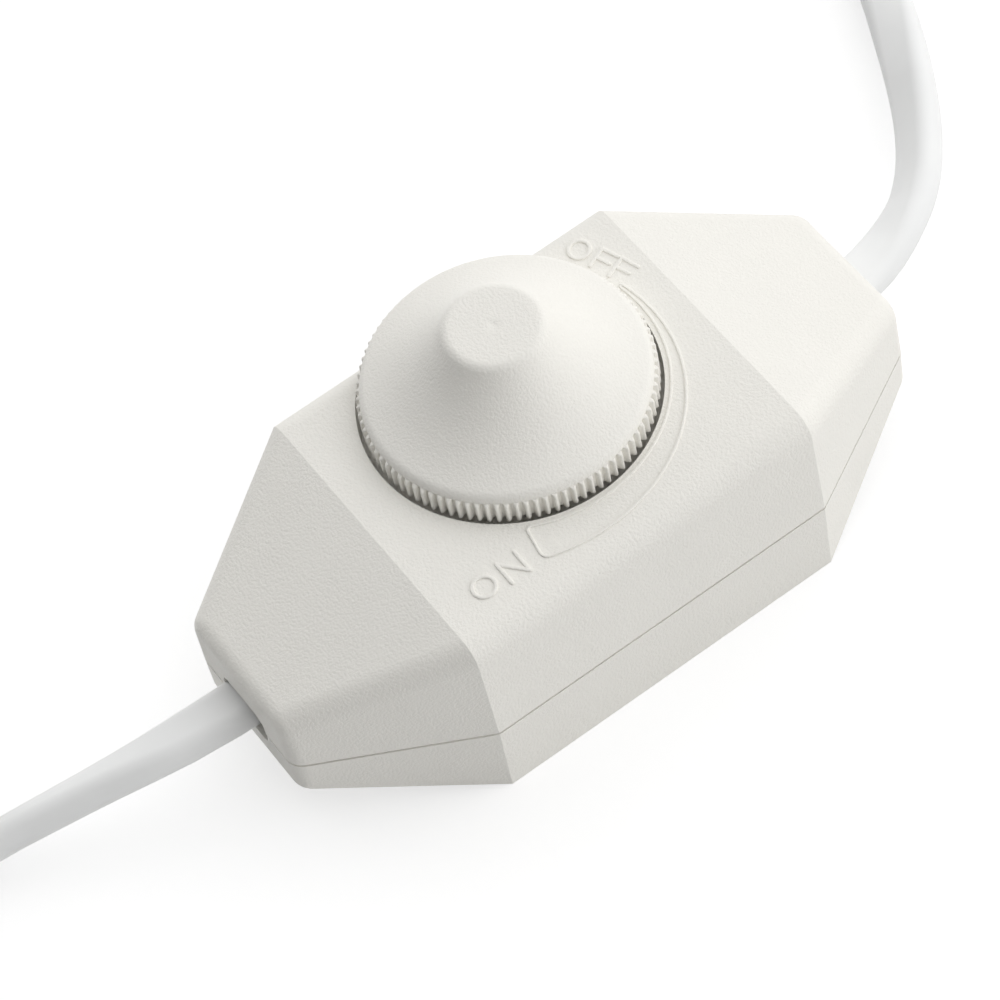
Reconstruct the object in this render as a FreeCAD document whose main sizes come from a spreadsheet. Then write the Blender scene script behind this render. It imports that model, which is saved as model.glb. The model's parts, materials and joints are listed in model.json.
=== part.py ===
import FreeCAD, Part
import itertools
import math
import os
import re
import Sketcher
from FreeCAD import Placement, Rotation, Vector

doc = FreeCAD.newDocument("cord_dimmer")
sheet = doc.addObject("Spreadsheet::Sheet", "Sizes")

# Driving dimensions in millimetres. A lean is millimetres inwards for each millimetre of height.
sizes = {
    # Shells
    "body_length": 84.0,
    "flat_length": 44.4,
    "body_width": 40.7,
    "end_width": 18.6,
    "body_height": 27.3,
    "parting_height": 11.3,
    "end_top": 19.55,
    "end_bottom": 6.6,
    "top_lean": 0.0477,
    "bottom_lean": 0.0187,
    "top_radius": 2.7,
    "end_radius": 2.3,
    "groove_height": 0.35,
    "groove_depth": 0.6,
    "wall": 2.2,
    # Knob well, off the middle so that the rim stands out through the back wall
    "knob_offset": 5.2,
    "well_radius": 17.05,
    "well_depth": 4.3,
    "well_floor": 1.8,
    "well_wall": 1.6,
    # Screw posts that join the shells
    "post_x": 18.0,
    "post_y": 13.6,
    "post_radius": 3.3,
    "screw_radius": 1.45,
    "screw_head_radius": 2.6,
    "screw_head_height": 2.0,
    "head_crown": 0.7,
    "screw_length": 13.0,
    "head_seat": 4.0,
    "head_clearance": 0.25,
    "shank_clearance": 0.2,
    "thread_clearance": 0.03,
    # Knob
    "rim_gap": 0.3,
    "rim_sink": 0.2,
    "rib_top": 2.6,
    "rib_count": 96,
    "rib_depth": 0.55,
    "groove_width": 0.56,
    "groove_root": 0.4,
    "shoulder_step": 0.4,
    "shoulder_radius": 1.3,
    "shoulder_slope": 0.408,
    "flank_radius": 19.8,
    "flank_slope": 1.713,
    "knob_height": 12.8,
    "disc_radius": 4.8,
    "disc_edge": 1.3,
    "rim_wall": 2.2,
    "hub_radius": 5.0,
    "hub_gap": 0.7,
    "hub_depth": 7.0,
    "bell_depth": 2.0,
    "bell_corner": 1.0,
    # Potentiometer and switch
    "shaft_radius": 3.0,
    "shaft_flat": 1.5,
    "shaft_top": 10.4,
    "shaft_fit": 0.02,
    "bearing_gap": 0.05,
    "shaft_tip_radius": 1.6,
    "tip_depth": 3.3,
    "bushing_radius": 3.5,
    "bushing_height": 6.0,
    "bushing_clearance": 0.15,
    "flange_radius": 8.5,
    "flange_thickness": 1.2,
    "washer_radius": 5.5,
    "washer_thickness": 0.6,
    "nut_flats": 10.0,
    "nut_height": 2.2,
    "case_wall": 0.8,
    "case_height": 7.1,
    "track_thickness": 1.2,
    "track_hole": 2.2,
    "wiper_radius": 6.9,
    "wiper_thickness": 1.4,
    "wiper_lift": 0.3,
    "switch_radius": 8.0,
    "tag_pitch": 5.0,
    "tag_reach": 1.9,
    "tag_width": 1.2,
    "tag_thickness": 0.8,
    # Circuit board and its parts
    "board_thickness": 1.6,
    "board_rise": 2.4,
    "board_length": 41.0,
    "board_width": 29.0,
    "board_waist": 28.0,
    "board_tongue": 19.0,
    "standoff_radius": 1.8,
    "standoff_x": 11.5,
    "standoff_y": 12.0,
    "sink_inset": 4.0,
    "sink_thickness": 1.5,
    "sink_width": 14.8,
    "sink_clearance": 1.5,
    "triac_width": 8.0,
    "triac_thickness": 3.2,
    "lead_pitch": 2.3,
    "lead_width": 0.7,
    "lead_length": 2.6,
    "choke_inset": 6.9,
    "choke_y": -5.2,
    "choke_radius": 5.8,
    "choke_height": 10.5,
    "choke_flange": 1.5,
    "choke_core": 2.8,
    "winding_inset": 0.5,
    "winding_gap": 0.05,
    "film_length": 13.0,
    "film_width": 5.5,
    "film_height": 11.0,
    "film_y": -11.2,
    "timing_length": 6.0,
    "timing_width": 3.0,
    "timing_height": 7.0,
    "timing_x": 10.6,
    "box_radius": 0.5,
    "axial_lead": 0.35,
    "axial_lift": 2.0,
    "diac_radius": 1.0,
    "diac_length": 4.0,
    "diac_span": 7.0,
    "diac_inset": 4.7,
    "diac_y": -6.8,
    "resistor_radius": 1.2,
    "resistor_length": 6.5,
    "resistor_span": 10.0,
    "resistor_x": -13.8,
    "resistor_y": 4.2,
    "resistor_pitch": 3.4,
    "fuse_radius": 1.6,
    "fuse_length": 7.0,
    "fuse_span": 10.0,
    "fuse_x": 13.0,
    "fuse_y": 9.2,
    # Cords, their clamps and the stripped cores
    "cord_width": 6.0,
    "cord_thickness": 3.8,
    "cord_corner": 1.2,
    "cord_side": 0.9,
    "stripped_inset": 3.5,
    "exit_run": 6.0,
    "slot_half": 4.0,
    "slot_above": 3.1,
    "slot_corner": 1.5,
    "clamp_inset": 8.5,
    "clamp_length": 5.0,
    "clamp_width": 18.6,
    "clamp_end_flat": 0.4,
    "clamp_height": 2.8,
    "clamp_post_y": 6.9,
    "clamp_post_radius": 2.3,
    "clamp_screw_radius": 1.2,
    "clamp_head_radius": 2.1,
    "clamp_head_height": 1.6,
    "clamp_screw_length": 9.0,
    "core_radius": 1.1,
    "core_pitch": 2.8,
    "core_bend": 3.0,
    "core_pad_inset": 1.3,
    # Put-away mains cord and its plug
    "coil_x": -101.6,
    "coil_y": 33.5,
    "coil_run": 20.0,
    "coil_radius": 21.0,
    "coil_layers": 4,
    "cord_lift": 0.15,
    "tie_width": 9.0,
    "tie_thickness": 0.8,
    "tie_gap": 0.3,
    "plug_width": 35.3,
    "plug_thickness": 13.7,
    "plug_length": 34.0,
    "plug_rear": 16.0,
    "plug_slant": 14.0,
    "plug_neck": 7.0,
    "neck_width": 9.0,
    "neck_thickness": 6.6,
    "plug_edge": 3.0,
    "pin_radius": 2.0,
    "pin_length": 19.0,
    "pin_pitch": 18.6,
    "pin_tip": 1.0,
    # Stripped lamp end
    "end_core_length": 5.0,
    "end_core_gap": 0.1,
    "ferrule_radius": 0.9,
    "ferrule_length": 5.0,
}
for row, (alias, value) in enumerate(sizes.items(), 1):
    sheet.set(f"A{row}", alias)
    sheet.set(f"B{row}", str(value))
    sheet.setAlias(f"B{row}", alias)
doc.recompute()


def cell(text):
    def named(word):
        return f"Sizes.{word[0]}" if word[0] in sizes else word[0]

    return re.sub(r"[a-z_]\w*", named, str(text))


def val(text):
    return float(sheet.evalExpression(cell(text)))


def bind(thing, name, text):
    thing.setExpression(name, cell(text))


# Sketch and feature helpers
def new_body(label, x="0", y="0", z="0"):
    body = doc.addObject("PartDesign::Body", label)
    body.Label = label
    for axis, text in zip("xyz", (x, y, z)):
        if text != "0":
            bind(body, f"Placement.Base.{axis}", text)
    return body


def datum(body, role):
    return next(f for f in body.Origin.OriginFeatures if f.Role == role)


def new_sketch(body, name, plane="XY_Plane", offset="0"):
    sketch = body.newObject("Sketcher::SketchObject", name)
    sketch.AttachmentSupport = [(datum(body, plane), "")]
    sketch.MapMode = "FlatFace"
    if offset != "0":
        bind(sketch, "AttachmentOffset.Base.z", offset)
    return sketch


def pin_point(sketch, edge, end, u, v):
    for kind, text, axis in (("DistanceX", u, -2), ("DistanceY", v, -1)):
        if str(text) == "0":
            sketch.addConstraint(Sketcher.Constraint("PointOnObject", edge, end, axis))
        else:
            index = sketch.addConstraint(Sketcher.Constraint(kind, -1, 1, edge, end, val(text)))
            bind(sketch, f"Constraints[{index}]", text)


def set_radius(sketch, edge, text):
    index = sketch.addConstraint(Sketcher.Constraint("Radius", edge, val(text)))
    bind(sketch, f"Constraints[{index}]", text)


def arc_between(start, end, radius, turn, large):
    chord = end - start
    left = Vector(-chord.y, chord.x, 0).normalize()
    reach = math.sqrt(max(radius**2 - chord.Length**2 / 4, 0))
    side = turn * (-1 if large else 1)
    middle = (start + end) / 2 + left * (side * reach)
    first, last = (start, end) if turn > 0 else (end, start)
    angles = [math.atan2(p.y - middle.y, p.x - middle.x) for p in (first, last)]
    return Part.ArcOfCircle(Part.Circle(middle, Vector(0, 0, 1), radius), *angles)


def outline(sketch, path):
    """Closed outline. A corner is (u, v), or (u, v, radius, turn, large) where an arc arrives at it."""
    points = [Vector(val(p[0]), val(p[1]), 0) for p in path]
    first = sketch.GeometryCount
    ends = []
    for i, corner in enumerate(path):
        if len(corner) == 2:
            sketch.addGeometry(Part.LineSegment(points[i - 1], points[i]), False)
            ends.append((1, 2))
        else:
            radius, turn, large = (list(corner[2:]) + [False])[:3]
            sketch.addGeometry(arc_between(points[i - 1], points[i], val(radius), turn, large), False)
            ends.append((1, 2) if turn > 0 else (2, 1))
    for i, corner in enumerate(path):
        following = (i + 1) % len(path)
        link = (first + i, ends[i][1], first + following, ends[following][0])
        sketch.addConstraint(Sketcher.Constraint("Coincident", *link))
    for i, corner in enumerate(path):
        pin_point(sketch, first + i, ends[i][1], corner[0], corner[1])
        if len(corner) > 2:
            set_radius(sketch, first + i, corner[2])


def rectangle(sketch, left, bottom, right, top):
    outline(sketch, [(left, bottom), (right, bottom), (right, top), (left, top)])


def circle(sketch, u, v, radius):
    place = Vector(val(u), val(v), 0)
    edge = sketch.addGeometry(Part.Circle(place, Vector(0, 0, 1), val(radius)), False)
    pin_point(sketch, edge, 3, u, v)
    set_radius(sketch, edge, radius)


def extrude(body, kind, name, sketch, length, up):
    feature = body.newObject(f"PartDesign::{kind}", name)
    feature.Profile = sketch
    bind(feature, "Length", length)
    feature.Reversed = up if kind == "Pocket" else not up
    doc.recompute()
    return feature


def pad(body, name, sketch, length, up=True):
    return extrude(body, "Pad", name, sketch, length, up)


def pocket(body, name, sketch, length, up=False):
    before = body.Shape.Volume
    feature = extrude(body, "Pocket", name, sketch, length, up)
    if body.Shape.Volume > before - 1e-6:
        raise RuntimeError(f"{body.Label}.{name} cuts nothing")
    return feature


def revolve(body, name, path, plane="XZ_Plane", axis="V_Axis"):
    sketch = new_sketch(body, f"{name}_sketch", plane)
    outline(sketch, path)
    feature = body.newObject("PartDesign::Revolution", name)
    feature.Profile = sketch
    feature.ReferenceAxis = (sketch, [axis])
    feature.Angle = 360
    doc.recompute()
    return feature


def block(body, name, x0, x1, y0, y1, z0, z1):
    sketch = new_sketch(body, f"{name}_sketch", offset=z0)
    rectangle(sketch, x0, y0, x1, y1)
    return pad(body, name, sketch, f"({z1}) - ({z0})")


def columns(body, kind, name, places, radius, z0, z1):
    sketch = new_sketch(body, f"{name}_sketch", offset=z0)
    for x, y in places:
        circle(sketch, x, y, radius)
    make = pad if kind == "Pad" else pocket
    return make(body, name, sketch, f"({z1}) - ({z0})", True)


def edges_where(feature, test):
    return [f"Edge{i}" for i, e in enumerate(feature.Shape.Edges, 1) if test(e)]


def dress(body, kind, name, base, edges, size, text):
    feature = body.newObject(f"PartDesign::{kind}", name)
    feature.Base = (base, edges)
    feature.Refine = False
    bind(feature, size, text)
    doc.recompute()
    return feature


def mirrored(x, y):
    return [(f"{sx}({x})", f"{sy}({y})") for sx in ("-", "") for sy in ("-", "")]


# Heights that several pieces share
half_length = "body_length / 2"
half_flat = "flat_length / 2"
run = f"({half_length} - {half_flat})"
taper = f"((body_width - end_width) / 2 / {run})"
top_slope = f"((body_height - end_top) / {run})"
bottom_slope = f"(end_bottom / {run})"
well_bottom = "(body_height - well_depth)"
floor_under = f"({well_bottom} - well_floor)"
track_top = f"({floor_under} - flange_thickness - case_height)"
track_under = f"({track_top} - track_thickness)"
rim_under = "(body_height - rim_sink)"
cord_top = "(parting_height + cord_thickness / 2)"
cord_under = "(parting_height - cord_thickness / 2)"
board_under = "(wall + board_rise)"
board_top = f"({board_under} + board_thickness)"
clamp_x = f"({half_length} - clamp_inset)"
clamp_foot = f"({bottom_slope} * ({clamp_x} - {half_flat}) + wall / 2)"
stripped_x = f"({clamp_x} - stripped_inset)"
pad_x = "(board_length / 2 - core_pad_inset)"
sink_top = f"({floor_under} - sink_clearance)"
sink_x = "(board_length / 2 - sink_inset)"
choke_x = "(choke_inset - board_length / 2)"
diac_x = f"({sink_x} - diac_inset)"


# Shells: straight-ruled lofts through four cross-sections, one at each end and at each crease
def cross_section(body, name, x, half, opening, flat, lean, radius, sign):
    sketch = new_sketch(body, name, "YZ_Plane", x)
    narrow = f"(({half}) - {lean} * {sign}(({flat}) - ({opening})))"
    stretch = f"sqrt(1 + {lean}^2)"
    trim = f"({radius} / ({stretch} + {lean}))"
    side_u = f"({narrow} + {trim} * {lean} / {stretch})"
    side_v = f"(({flat}) - {sign}{trim} / {stretch})"
    flat_u = f"({narrow} - {trim})"
    if radius == "0":
        top = [(narrow, flat), (f"-{narrow}", flat)]
    else:
        top = [(side_u, side_v), (flat_u, flat, radius, 1)]
        top += [(f"-{flat_u}", flat), (f"-{side_u}", side_v, radius, 1)]
    outline(sketch, [(f"-({half})", opening), (half, opening)] + top)
    return sketch


def shell_loft(body, kind, name, stations, opening, lean, radius, sign):
    sections = []
    for i, (x, half, flat) in enumerate(stations):
        sections.append(cross_section(body, f"{name}_{i}", x, half, opening, flat, lean, radius, sign))
    feature = body.newObject(f"PartDesign::{kind}", name)
    feature.Profile = sections[0]
    feature.Sections = sections[1:]
    feature.Ruled = True
    feature.Refine = False
    doc.recompute()
    return feature


def both_ends(end, middle):
    near = [(f"-({end[0]})",) + end[1:], (f"-({middle[0]})",) + middle[1:]]
    return [end, middle] + near[::-1]


def inner_end(slope, flat, sign):
    x = f"{half_length} - wall"
    half = f"end_width / 2 + {taper} * wall - wall * sqrt(1 + {taper}^2)"
    inward = f"({slope} * wall - wall * sqrt(1 + {slope}^2))"
    level = f"{flat} + {inward}" if sign == "" else f"{flat} - {inward}"
    return (x, half, level)


def end_edges(shape_feature, opening, corner_only):
    limit = val(half_length)
    joint = val(opening)

    def on_end(edge):
        box = edge.BoundBox
        flat_on_end = box.XLength < 1e-6 and abs(abs(box.Center.x) - limit) < 1e-6
        level = abs(box.ZMin - joint) < 1e-6 and abs(box.ZMax - joint) < 1e-6
        upright = box.ZLength > box.YLength
        return flat_on_end and not level and (upright or not corner_only)

    return edges_where(shape_feature, on_end)


posts = mirrored("post_x", "post_y")
clamp_posts = mirrored(clamp_x, "clamp_post_y")


def end_slots(body, name, low, high, corner, roof):
    """Cord slots cut through both end walls, with rounded corners away from the parting plane."""
    sketch = new_sketch(body, f"{name}_sketch", "YZ_Plane", f"-({half_length}) - wall")
    turn = 1 if roof else -1
    inner = f"(slot_half - {corner})"
    level = high if roof else low
    bend = f"({level}) - {corner}" if roof else f"({level}) + {corner}"
    rest = low if roof else high
    path = [
        ("-slot_half", rest),
        ("slot_half", rest),
        ("slot_half", bend),
        (inner, level, corner, turn),
        (f"-{inner}", level),
        ("-slot_half", bend, corner, turn),
    ]
    outline(sketch, path)
    pocket(body, name, sketch, "body_length + 4 * wall", True)


def make_bottom_cover():
    body = new_body("bottom_cover")
    outer = both_ends((half_length, "end_width / 2", "end_bottom"), (half_flat, "body_width / 2", "0"))
    loft = shell_loft(body, "AdditiveLoft", "outer", outer, "parting_height", "bottom_lean", "0", "-")
    dress(body, "Fillet", "corners", loft, end_edges(loft, "parting_height", True), "Radius", "end_radius")
    middle = (half_flat, "body_width / 2 - wall", "wall")
    inner = both_ends(inner_end(bottom_slope, "end_bottom", "-"), middle)
    shell_loft(body, "SubtractiveLoft", "inner", inner, "parting_height", "bottom_lean", "0", "-")
    columns(body, "Pad", "screw_posts", posts, "post_radius", "wall / 2", "parting_height")
    columns(body, "Pad", "clamp_posts", clamp_posts, "clamp_post_radius", clamp_foot, cord_top)
    standoffs = mirrored("standoff_x", "standoff_y")
    columns(body, "Pad", "standoffs", standoffs, "standoff_radius", "wall / 2", board_under)
    for side in ("-", ""):
        name = "line_saddle" if side else "load_saddle"
        ends = [f"{side}({clamp_x} - clamp_length / 2)", f"{side}({clamp_x} + clamp_length / 2)"]
        sides = ("cord_side - cord_width / 2", "cord_side + cord_width / 2")
        block(body, name, *sorted(ends, key=val), *sides, clamp_foot, cord_under)
    end_slots(body, "slots", cord_under, "parting_height", "cord_corner", False)
    head_hole = "screw_head_radius + head_clearance"
    columns(body, "Pocket", "head_holes", posts, head_hole, "0", "head_seat")
    columns(body, "Pocket", "shank_holes", posts, "screw_radius + shank_clearance", "0", "parting_height")
    pilot = "clamp_screw_radius + thread_clearance"
    pilot_end = f"{cord_top} + clamp_height - clamp_screw_length - thread_clearance"
    columns(body, "Pocket", "clamp_pilots", clamp_posts, pilot, pilot_end, cord_top)


def make_top_housing():
    body = new_body("top_housing")
    outer = both_ends((half_length, "end_width / 2", "end_top"), (half_flat, "body_width / 2", "body_height"))
    edge = "(parting_height + groove_height)"
    loft = shell_loft(body, "AdditiveLoft", "shell", outer, edge, "top_lean", "top_radius", "")
    dress(body, "Fillet", "end_rounds", loft, end_edges(loft, edge, False), "Radius", "end_radius")
    lip = new_sketch(body, "lip_sketch", offset="parting_height")
    end = (f"{half_length} - groove_depth", "(end_width / 2 - groove_depth)")
    crease = (half_flat, "(body_width / 2 - groove_depth)")
    quarter = [end, crease]
    path = quarter + [(f"-({x})", y) for x, y in quarter[::-1]]
    path += [(f"-({x})", f"-{y}") for x, y in quarter] + [(x, f"-{y}") for x, y in quarter[::-1]]
    outline(lip, path)
    pad(body, "lip", lip, "groove_height")
    middle = (half_flat, "body_width / 2 - wall", "body_height - wall")
    inner = both_ends(inner_end(top_slope, "end_top", ""), middle)
    shell_loft(body, "SubtractiveLoft", "hollow", inner, "parting_height", "top_lean", "0", "")
    roof = "body_height - wall / 2"
    cup = new_sketch(body, "well_cup_sketch", offset=floor_under)
    back = "(body_width / 2 - wall)"
    cup_radius = "(well_radius + well_wall)"
    reach = f"sqrt({cup_radius}^2 - ({back} - knob_offset)^2)"
    outline(cup, [(reach, back), (f"-{reach}", back, cup_radius, -1, True)])
    pad(body, "well_cup", cup, f"{roof} - {floor_under}")
    columns(body, "Pad", "bosses", posts, "post_radius", "parting_height", roof)
    columns(body, "Pocket", "well", [("0", "knob_offset")], "well_radius", well_bottom, "body_height + wall")
    bushing_hole = "bushing_radius + bushing_clearance"
    columns(body, "Pocket", "bushing_hole", [("0", "knob_offset")], bushing_hole, floor_under, well_bottom)
    pilot = "screw_radius + thread_clearance"
    pilot_end = "head_seat + screw_length + thread_clearance"
    columns(body, "Pocket", "pilots", posts, pilot, "parting_height", pilot_end)
    end_slots(body, "slots", "parting_height", "parting_height + slot_above", "slot_corner", True)


# Potentiometer, switch and knob share one axis
def on_axis(label):
    return new_body(label, y="knob_offset")


def d_outline(sketch, radius, flat):
    half = f"sqrt(({radius})^2 - ({flat})^2)"
    outline(sketch, [(half, flat), (f"-({half})", flat, radius, -1, True)])


def make_knob():
    body = on_axis("knob")
    tip = "(well_radius - rim_gap)"
    shoulder = f"({tip} - shoulder_step)"
    rib_level = "(body_height + rib_top)"
    top = "(body_height + knob_height)"
    foot = "sqrt(1 + shoulder_slope^2)"
    crown = "sqrt(1 + flank_slope^2)"
    foot_r = f"{shoulder} - shoulder_radius + shoulder_radius * shoulder_slope / {foot}"
    foot_z = f"{rib_level} + shoulder_radius / {foot}"
    crown_r = f"disc_radius + disc_edge * flank_slope / {crown}"
    crown_z = f"{top} - disc_edge + disc_edge / {crown}"
    hub_under = f"({well_bottom} + bushing_height - well_floor + hub_gap)"
    path = [
        ("0", hub_under),
        ("hub_radius", hub_under),
        ("hub_radius", f"{hub_under} + hub_depth"),
        (f"{tip} - rim_wall - bell_corner", f"{hub_under} + bell_depth"),
        (f"{tip} - rim_wall", f"{hub_under} + bell_depth - bell_corner"),
        (f"{tip} - rim_wall", rim_under),
        (tip, rim_under),
        (tip, rib_level),
        (shoulder, rib_level),
        (foot_r, foot_z, "shoulder_radius", 1),
        (crown_r, crown_z, "flank_radius", -1),
        ("disc_radius", top, "disc_edge", 1),
        ("0", top),
    ]
    revolve(body, "bell", path)
    bore = new_sketch(body, "bore_sketch", offset=hub_under)
    d_outline(bore, "shaft_radius + shaft_fit", "shaft_flat + shaft_fit")
    pocket(body, "bore", bore, f"body_height + shaft_top + shaft_fit - {hub_under}", True)
    sketch = new_sketch(body, "groove_sketch", offset=rim_under)
    root = f"({tip} - rib_depth)"
    past = f"({tip} + rib_depth)"
    groove_path = [(root, "-groove_root / 2"), (past, "-groove_width"), (past, "groove_width")]
    outline(sketch, groove_path + [(root, "groove_root / 2")])
    groove = pocket(body, "groove", sketch, f"{rib_level} - {rim_under}", True)
    ribs = body.newObject("PartDesign::PolarPattern", "ribs")
    ribs.Originals = [groove]
    ribs.Axis = (datum(body, "Z_Axis"), [""])
    ribs.Angle = 360
    bind(ribs, "Occurrences", "rib_count")
    body.Tip = ribs
    doc.recompute()


def make_shaft():
    body = on_axis("pot_shaft")
    foot = f"({track_top} + wiper_lift)"
    top = "(body_height + shaft_top)"
    path = [
        ("0", f"{foot} - tip_depth"),
        ("shaft_tip_radius", f"{foot} - tip_depth"),
        ("shaft_tip_radius", foot),
        ("shaft_radius", foot),
        ("shaft_radius", top),
        ("0", top),
    ]
    revolve(body, "spindle", path)
    flat = new_sketch(body, "flat_sketch", offset=f"{well_bottom} + bushing_height - well_floor")
    rectangle(flat, "-shaft_radius", "shaft_flat", "shaft_radius", "2 * shaft_radius")
    pocket(body, "flat", flat, f"{top} - ({well_bottom} + bushing_height - well_floor)", True)


def ring(body, name, inner, outer, low, high):
    return revolve(body, name, [(inner, low), (outer, low), (outer, high), (inner, high)])


def make_potentiometer():
    bushing = on_axis("pot_bushing")
    bore = "shaft_radius + bearing_gap"
    flange_under = f"{floor_under} - flange_thickness"
    path = [
        (bore, flange_under),
        ("flange_radius", flange_under),
        ("flange_radius", floor_under),
        ("bushing_radius", floor_under),
        ("bushing_radius", f"{floor_under} + bushing_height"),
        (bore, f"{floor_under} + bushing_height"),
    ]
    revolve(bushing, "sleeve", path)
    washer_top = f"{well_bottom} + washer_thickness"
    thread = "bushing_radius + bearing_gap"
    ring(on_axis("pot_washer"), "disc", thread, "washer_radius", well_bottom, washer_top)
    nut = on_axis("pot_nut")
    sketch = new_sketch(nut, "nut_sketch", offset=washer_top)
    corner = "nut_flats / sqrt(3)"
    half = "nut_flats / 2"
    hexagon = [(corner, "0"), (f"{corner} / 2", half), (f"-{corner} / 2", half)]
    hexagon += [(f"-{corner}", "0"), (f"-{corner} / 2", f"-{half}"), (f"{corner} / 2", f"-{half}")]
    outline(sketch, hexagon)
    circle(sketch, "0", "0", thread)
    pad(nut, "hexagon", sketch, "nut_height")
    case = on_axis("pot_case")
    ring(case, "can", "flange_radius - case_wall", "flange_radius", track_top, flange_under)
    wiper = on_axis("pot_wiper")
    low = f"{track_top} + wiper_lift"
    ring(wiper, "rotor", "shaft_radius + shaft_fit", "wiper_radius", low, f"{low} + wiper_thickness")
    track = on_axis("pot_track")
    ring(track, "disc", "track_hole", "flange_radius", track_under, track_top)
    edge = "flange_radius + tag_reach"
    for i, place in enumerate(("-tag_pitch", "0", "tag_pitch")):
        left, right = f"{place} - tag_width / 2", f"{place} + tag_width / 2"
        sides = (left, right, f"-({edge})")
        block(track, f"tag_{i}", *sides, f"-{tag_root(place)}", track_under, track_top)
        block(track, f"leg_{i}", *sides, f"-({edge}) + tag_thickness", board_top, track_under)
    switch = on_axis("switch_case")
    columns(switch, "Pad", "drum", [("0", "0")], "switch_radius", board_top, track_under)
    socket_floor = f"{track_top} - tip_depth"
    columns(switch, "Pocket", "socket", [("0", "0")], "track_hole", socket_floor, track_under)


def tag_root(place):
    return f"(sqrt(flange_radius^2 - (sqrt(({place})^2) + tag_width / 2)^2) - tag_thickness)"


# Circuit board and what is soldered to it
def make_board():
    body = new_body("circuit_board")
    sketch = new_sketch(body, "board_sketch", offset=board_under)
    length, width = "board_length / 2", "board_width / 2"
    waist, tongue = "board_waist / 2", "board_tongue / 2"
    quarter = [(length, tongue), (waist, tongue), (waist, width)]
    path = quarter + [(f"-{x}", y) for x, y in quarter[::-1]]
    path += [(f"-{x}", f"-{y}") for x, y in quarter] + [(x, f"-{y}") for x, y in quarter[::-1]]
    outline(sketch, path)
    pad(body, "sheet", sketch, "board_thickness")


def make_triac():
    sink = new_body("heat_sink")
    half = "sink_width / 2"
    block(sink, "plate", sink_x, f"{sink_x} + sink_thickness", f"-{half}", half, board_top, sink_top)
    body = new_body("triac")
    front = f"{sink_x} - triac_thickness"
    low = f"{board_top} + lead_length"
    block(body, "case", front, sink_x, "-triac_width / 2", "triac_width / 2", low, sink_top)
    middle = f"{sink_x} - triac_thickness / 2"
    for i, place in enumerate(("-lead_pitch", "0", "lead_pitch")):
        faces = (f"{middle} - lead_width / 2", f"{middle} + lead_width / 2")
        sides = (f"{place} - lead_width / 2", f"{place} + lead_width / 2")
        block(body, f"lead_{i}", *faces, *sides, board_top, low)


def make_choke():
    core = new_body("choke_core", choke_x, "choke_y")
    top = f"{board_top} + choke_height"
    low, high = f"{board_top} + choke_flange", f"{top} - choke_flange"
    path = [("0", board_top), ("choke_radius", board_top), ("choke_radius", low), ("choke_core", low)]
    path += [("choke_core", high), ("choke_radius", high), ("choke_radius", top), ("0", top)]
    revolve(core, "drum", path)
    coil = new_body("choke_winding", choke_x, "choke_y")
    inner, outer = "choke_core + winding_gap", "choke_radius - winding_inset"
    ring(coil, "turns", inner, outer, f"{low} + winding_gap", f"{high} - winding_gap")


def make_box_part(label, x, y, length, width, height):
    body = new_body(label, x, y)
    sides = (f"-{length} / 2", f"{length} / 2", f"-{width} / 2", f"{width} / 2")
    box = block(body, "box", *sides, board_top, f"{board_top} + {height}")
    top = val(f"{board_top} + {height}")
    edges = edges_where(box, lambda e: e.BoundBox.ZMax > top - 1e-6)
    dress(body, "Fillet", "edges", box, edges, "Radius", "box_radius")


def axial_part(body, name, radius, length, span, y="0"):
    """Cylinder lying along X with a wire at each end that turns down to the board."""
    sketch = new_sketch(body, f"{name}_sketch", "XZ_Plane", f"-({y})" if y != "0" else "0")
    half, reach = f"{length} / 2", f"{span} / 2"
    right = [(reach, "0"), (reach, "axial_lead"), (half, "axial_lead"), (half, radius)]
    path = right + [(f"-{u}", v) for u, v in right[::-1]]
    outline(sketch, path)
    turned = body.newObject("PartDesign::Revolution", name)
    turned.Profile = sketch
    turned.ReferenceAxis = (sketch, ["H_Axis"])
    turned.Angle = 360
    doc.recompute()
    legs = new_sketch(body, f"{name}_leg_sketch")
    for side in ("-", ""):
        circle(legs, f"{side}({reach})", y, "axial_lead")
    pad(body, f"{name}_legs", legs, "axial_lift", False)


def make_axial_parts():
    height = f"{board_top} + axial_lift"
    diac = new_body("diac", diac_x, "diac_y", height)
    axial_part(diac, "glass", "diac_radius", "diac_length", "diac_span")
    fuse = new_body("fuse", "fuse_x", "fuse_y", height)
    axial_part(fuse, "tube", "fuse_radius", "fuse_length", "fuse_span")
    pair = new_body("resistors", "resistor_x", "resistor_y", height)
    axial_part(pair, "first", "resistor_radius", "resistor_length", "resistor_span")
    axial_part(pair, "second", "resistor_radius", "resistor_length", "resistor_span", "resistor_pitch")


# Cord clamps
def make_clamps():
    for label, side in (("line_clamp", "-"), ("load_clamp", "")):
        body = new_body(label, f"{side}{clamp_x}")
        half, width = "clamp_length / 2", "clamp_width / 2"
        bar = block(body, "bar", f"-{half}", half, f"-{width}", width, cord_top, f"{cord_top} + clamp_height")
        edges = edges_where(bar, lambda e: e.BoundBox.ZLength > 1)
        dress(body, "Fillet", "ends", bar, edges, "Radius", f"{half} - clamp_end_flat")
        hole = "clamp_screw_radius + shank_clearance"
        places = [("0", "-clamp_post_y"), ("0", "clamp_post_y")]
        columns(body, "Pocket", "holes", places, hole, cord_top, f"{cord_top} + clamp_height")


# Groups of equal pieces and swept pieces
def add_shape(label, shape):
    feature = doc.addObject("Part::Feature", label)
    feature.Label = label
    feature.Shape = shape
    return feature


def turned_solid(path):
    points = [Vector(r, 0, z) for r, z in path]
    face = Part.Face(Part.makePolygon(points + points[:1]))
    return face.revolve(Vector(0, 0, 0), Vector(0, 0, 1), 360)


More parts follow.
